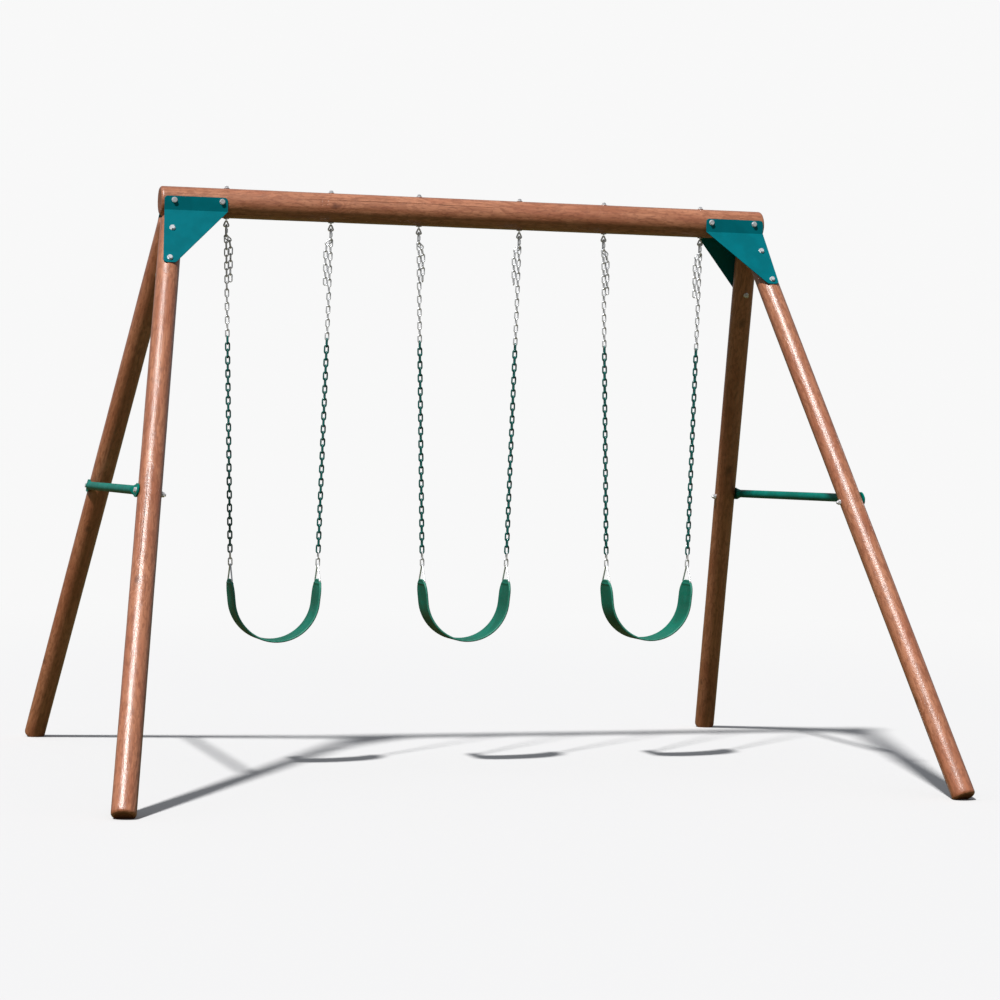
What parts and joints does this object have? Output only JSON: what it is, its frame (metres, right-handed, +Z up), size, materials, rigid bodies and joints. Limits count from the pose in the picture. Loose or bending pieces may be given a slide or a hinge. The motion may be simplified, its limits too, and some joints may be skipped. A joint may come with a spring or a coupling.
{
  "type": "swing set",
  "caption": "Free-standing timber A-frame with belt swings hung from a round top beam on part-coated chains.",
  "frame": {"origin": "on the ground, under the middle of the top beam", "axes": "+X along the top beam to the right end, -Y to the front, +Z up"},
  "size_m": [3.1314, 2.7358, 2.242],
  "materials": {
    "stained_timber": "reddish-brown stained softwood log, satin",
    "bracket_paint": "teal-green powder coat, semi-gloss",
    "brace_paint": "green powder coat, semi-gloss",
    "belt_rubber": "moulded emerald green plastic, satin",
    "chain_coating": "green soft vinyl dip",
    "zinc_hardware": "bright zinc plate"
  },
  "bodies": {
    "frame": {"beam_bolts": "zinc_hardware", "beam_nuts": "zinc_hardware", "beam_washers": "zinc_hardware", "brace_bolts": "zinc_hardware", "brace_left": "brace_paint", "brace_nuts": "zinc_hardware", "brace_right": "brace_paint", "brace_washers": "zinc_hardware", "bracket_back_left": "bracket_paint", "bracket_back_right": "bracket_paint", "bracket_front_left": "bracket_paint", "bracket_front_right": "bracket_paint", "eye_bolts": "zinc_hardware", "eye_nuts": "zinc_hardware", "eye_washers": "zinc_hardware", "leg_back_left": "stained_timber", "leg_back_right": "stained_timber", "leg_bolts": "zinc_hardware", "leg_front_left": "stained_timber", "leg_front_right": "stained_timber", "leg_nuts": "zinc_hardware", "leg_washers": "zinc_hardware", "top_beam": "stained_timber"},
    "left_swing": {"left_chain_left_bare": "zinc_hardware", "left_chain_left_coated": "chain_coating", "left_chain_right_bare": "zinc_hardware", "left_chain_right_coated": "chain_coating", "left_link_sleeves": "zinc_hardware", "left_quick_links": "zinc_hardware"},
    "left_seat": {"left_belt": "belt_rubber", "left_rings": "zinc_hardware"},
    "left_tail_left_chain": {"left_tail_left": "zinc_hardware"},
    "left_tail_right_chain": {"left_tail_right": "zinc_hardware"},
    "middle_swing": {"middle_chain_left_bare": "zinc_hardware", "middle_chain_left_coated": "chain_coating", "middle_chain_right_bare": "zinc_hardware", "middle_chain_right_coated": "chain_coating", "middle_link_sleeves": "zinc_hardware", "middle_quick_links": "zinc_hardware"},
    "middle_seat": {"middle_belt": "belt_rubber", "middle_rings": "zinc_hardware"},
    "middle_tail_left_chain": {"middle_tail_left": "zinc_hardware"},
    "middle_tail_right_chain": {"middle_tail_right": "zinc_hardware"},
    "right_swing": {"right_chain_left_bare": "zinc_hardware", "right_chain_left_coated": "chain_coating", "right_chain_right_bare": "zinc_hardware", "right_chain_right_coated": "chain_coating", "right_link_sleeves": "zinc_hardware", "right_quick_links": "zinc_hardware"},
    "right_seat": {"right_belt": "belt_rubber", "right_rings": "zinc_hardware"},
    "right_tail_left_chain": {"right_tail_left": "zinc_hardware"},
    "right_tail_right_chain": {"right_tail_right": "zinc_hardware"}
  },
  "joints": [
    {"name": "left_swing_hinge", "type": "hinge", "parent": "frame", "child": "left_swing", "pos_m": [-0.762, 0, 2.087], "axis": [1, 0, 0], "range_deg": [-70, 70]},
    {"name": "left_seat_hinge", "type": "hinge", "parent": "left_swing", "child": "left_seat", "pos_m": [-0.762, 0.00004, 0.78574], "axis": [1, 0, 0], "range_deg": [-35, 35]},
    {"name": "left_tail_left_hinge", "type": "hinge", "parent": "left_swing", "child": "left_tail_left_chain", "pos_m": [-0.95246, 0.0029, 2.03004], "axis": [1, 0, 0], "range_deg": [-75, 75]},
    {"name": "left_tail_right_hinge", "type": "hinge", "parent": "left_swing", "child": "left_tail_right_chain", "pos_m": [-0.57154, 0.0029, 2.03004], "axis": [1, 0, 0], "range_deg": [-75, 75]},
    {"name": "middle_swing_hinge", "type": "hinge", "parent": "frame", "child": "middle_swing", "pos_m": [0, 0, 2.087], "axis": [1, 0, 0], "range_deg": [-70, 70]},
    {"name": "middle_seat_hinge", "type": "hinge", "parent": "middle_swing", "child": "middle_seat", "pos_m": [0, 0.00004, 0.78574], "axis": [1, 0, 0], "range_deg": [-35, 35]},
    {"name": "middle_tail_left_hinge", "type": "hinge", "parent": "middle_swing", "child": "middle_tail_left_chain", "pos_m": [-0.19046, 0.0029, 2.03004], "axis": [1, 0, 0], "range_deg": [-75, 75]},
    {"name": "middle_tail_right_hinge", "type": "hinge", "parent": "middle_swing", "child": "middle_tail_right_chain", "pos_m": [0.19046, 0.0029, 2.03004], "axis": [1, 0, 0], "range_deg": [-75, 75]},
    {"name": "right_swing_hinge", "type": "hinge", "parent": "frame", "child": "right_swing", "pos_m": [0.762, 0, 2.087], "axis": [1, 0, 0], "range_deg": [-70, 70]},
    {"name": "right_seat_hinge", "type": "hinge", "parent": "right_swing", "child": "right_seat", "pos_m": [0.762, 0.00004, 0.78574], "axis": [1, 0, 0], "range_deg": [-35, 35]},
    {"name": "right_tail_left_hinge", "type": "hinge", "parent": "right_swing", "child": "right_tail_left_chain", "pos_m": [0.57154, 0.0029, 2.03004], "axis": [1, 0, 0], "range_deg": [-75, 75]},
    {"name": "right_tail_right_hinge", "type": "hinge", "parent": "right_swing", "child": "right_tail_right_chain", "pos_m": [0.95246, 0.0029, 2.03004], "axis": [1, 0, 0], "range_deg": [-75, 75]}
  ]
}
